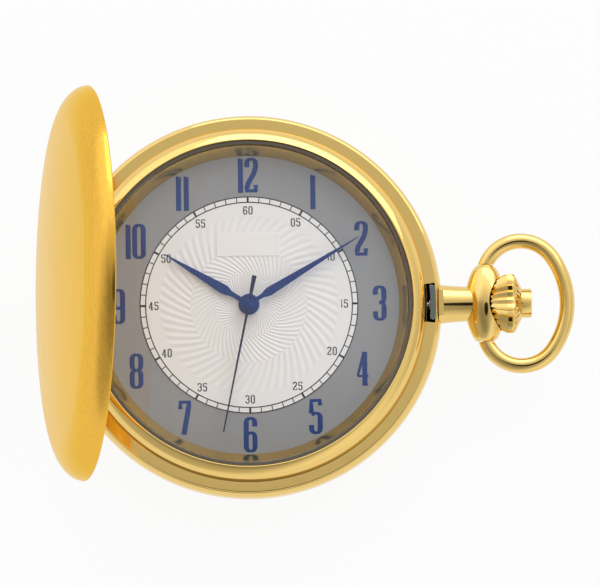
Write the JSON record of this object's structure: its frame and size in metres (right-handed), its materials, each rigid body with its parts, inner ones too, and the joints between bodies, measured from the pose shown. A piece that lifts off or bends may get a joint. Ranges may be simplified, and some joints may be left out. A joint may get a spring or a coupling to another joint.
{
  "type": "hunter pocket watch",
  "caption": "Gold-cased quartz pocket watch with a hinged solid front cover, printed dial with blue hands, fluted crown with a release button and an oval bow.",
  "frame": {"origin": "centre of the flat land on the back cover, where the watch lies", "axes": "+Z along the dial's normal, +X to the pendant at 3 o'clock, +Y to 12 o'clock; the front cover stands open on the -X side"},
  "size_m": [0.0656, 0.0472, 0.0544],
  "materials": {
    "gilt_case": "satin gold plating",
    "polished_gilt": "polished gold plating",
    "crystal": "clear mineral crystal",
    "black_rubber": "black rubber",
    "clear_gasket": "milky plastic",
    "white_plastic": "white moulded plastic",
    "silvered_dial": "silvered, pressed with fine ribs",
    "blue_hands": "blued",
    "steel": "plain steel",
    "nickel_plate": "nickelled",
    "gilt_brass": "gilt brass",
    "wheel_plastic": "moulded plastic",
    "magnet": "sintered magnet",
    "circuit_green": "lacquered board",
    "chip_black": "black resin",
    "copper_coil": "lacquered copper wire"
  },
  "bodies": {
    "root": {"case_middle": "gilt_case", "back_cover": "gilt_case", "back_gasket": "black_rubber", "bezel": "polished_gilt", "flange_ring": "gilt_case", "crystal": "crystal", "crystal_gasket": "clear_gasket", "dial": "silvered_dial", "movement_ring": "white_plastic", "hinge_pin": "gilt_case", "fly_spring": "steel", "spring_screws": "steel", "pendant": "gilt_case", "main_plate": "nickel_plate", "train_bridge": "gilt_brass", "bridge_screws": "steel", "battery": "steel", "battery_clamp": "gilt_brass", "circuit_board": "circuit_green", "circuit_chip": "chip_black", "quartz_can": "steel", "motor_coil": "copper_coil", "stator": "steel"},
    "front_cover": {"front_cover": "gilt_case"},
    "lock_spring": {"lock_spring": "steel"},
    "crown_slide": {"stem_gasket": "black_rubber"},
    "crown": {"stem": "steel", "crown": "polished_gilt"},
    "clutch": {"clutch_wheel": "steel"},
    "release": {"pusher": "polished_gilt", "pusher_pin": "steel", "release_washer": "steel", "pusher_spring": "steel"},
    "setting_lever": {"setting_lever": "steel"},
    "yoke": {"yoke": "steel"},
    "seconds": {"seconds_wheel": "wheel_plastic", "second_hand": "blue_hands"},
    "rotor": {"rotor": "magnet"},
    "motor_wheel": {"motor_wheel": "wheel_plastic"},
    "third": {"third_wheel": "wheel_plastic"},
    "minutes": {"center_wheel": "gilt_brass", "minute_hand": "blue_hands"},
    "minute_work": {"minute_wheel": "gilt_brass"},
    "hours": {"hour_wheel": "gilt_brass", "hour_hand": "blue_hands"},
    "bow": {"bow": "polished_gilt"}
  },
  "joints": [
    {"name": "front_cover_hinge", "type": "hinge", "parent": "root", "child": "front_cover", "pos_m": [-0.0232, 0, 0.0083], "axis": [0, 1, 0], "range_deg": [0, 80], "stiffness_Nm_per_rad": 0.0022, "springref_deg": -20.05},
    {"name": "lock_spring_flex", "type": "hinge", "parent": "root", "child": "lock_spring", "pos_m": [0.0143, 0.01704, 0.0065], "axis": [0, 0, 1], "range_deg": [-1.2, 0]},
    {"name": "crown_pull", "type": "slide", "parent": "root", "child": "crown_slide", "axis": [1, 0, 0], "range_m": [0, 0.0008]},
    {"name": "crown_turn", "type": "hinge", "parent": "crown_slide", "child": "crown", "pos_m": [0.03, 0, 0.0065], "axis": [1, 0, 0], "continuous": true},
    {"name": "clutch_shift", "type": "slide", "parent": "crown", "child": "clutch", "axis": [-1, 0, 0], "range_m": [0, 0.0012]},
    {"name": "button_press", "type": "slide", "parent": "crown", "child": "release", "axis": [-1, 0, 0], "range_m": [0, 0.00045], "stiffness_N_per_m": 400, "deforming": ["pusher_spring"]},
    {"name": "setting_lever_pivot", "type": "hinge", "parent": "root", "child": "setting_lever", "pos_m": [0.0079, 0.00216, 0.0065], "axis": [0, 0, 1], "range_deg": [0, 21.22]},
    {"name": "yoke_pivot", "type": "hinge", "parent": "root", "child": "yoke", "pos_m": [0.00515, -0.0024, 0.0065], "axis": [0, 0, 1], "range_deg": [0, 9.55]},
    {"name": "seconds_turn", "type": "hinge", "parent": "root", "child": "seconds", "pos_m": [0, 0, 0.009], "axis": [0, 0, -1], "continuous": true},
    {"name": "rotor_turn", "type": "hinge", "parent": "root", "child": "rotor", "pos_m": [-0.00334, -0.0028, 0.006], "axis": [0, 0, -1], "continuous": true},
    {"name": "motor_wheel_turn", "type": "hinge", "parent": "root", "child": "motor_wheel", "pos_m": [-0.00184, -0.00154, 0.005], "axis": [0, 0, -1], "continuous": true},
    {"name": "third_turn", "type": "hinge", "parent": "root", "child": "third", "pos_m": [-0.00053, 0.00301, 0.005], "axis": [0, 0, -1], "continuous": true},
    {"name": "minutes_turn", "type": "hinge", "parent": "root", "child": "minutes", "pos_m": [0, 0, 0.008], "axis": [0, 0, -1], "continuous": true},
    {"name": "minute_work_turn", "type": "hinge", "parent": "root", "child": "minute_work", "pos_m": [0.0022, 0, 0.007], "axis": [0, 0, -1], "continuous": true},
    {"name": "hours_turn", "type": "hinge", "parent": "root", "child": "hours", "pos_m": [0, 0, 0.0075], "axis": [0, 0, -1], "continuous": true},
    {"name": "bow_swing", "type": "hinge", "parent": "root", "child": "bow", "pos_m": [0.0289, 0, 0.0065], "axis": [0, 1, 0], "range_deg": [-90, 90]}
  ],
  "couplings": [
    {"joint": "lock_spring_flex", "follows": "button_press", "rad_per_m": -45.632},
    {"joint": "clutch_shift", "follows": "crown_pull", "ratio": 1.5},
    {"joint": "setting_lever_pivot", "follows": "crown_pull", "rad_per_m": 462.96},
    {"joint": "yoke_pivot", "follows": "crown_pull", "rad_per_m": 208.33},
    {"joint": "motor_wheel_turn", "follows": "seconds_turn", "ratio": -5},
    {"joint": "rotor_turn", "follows": "seconds_turn", "ratio": 30},
    {"joint": "third_turn", "follows": "seconds_turn", "ratio": -0.125},
    {"joint": "minutes_turn", "follows": "seconds_turn", "ratio": 0.016667},
    {"joint": "minute_work_turn", "follows": "seconds_turn", "ratio": -0.0055556},
    {"joint": "hours_turn", "follows": "seconds_turn", "ratio": 0.0013889}
  ]
}
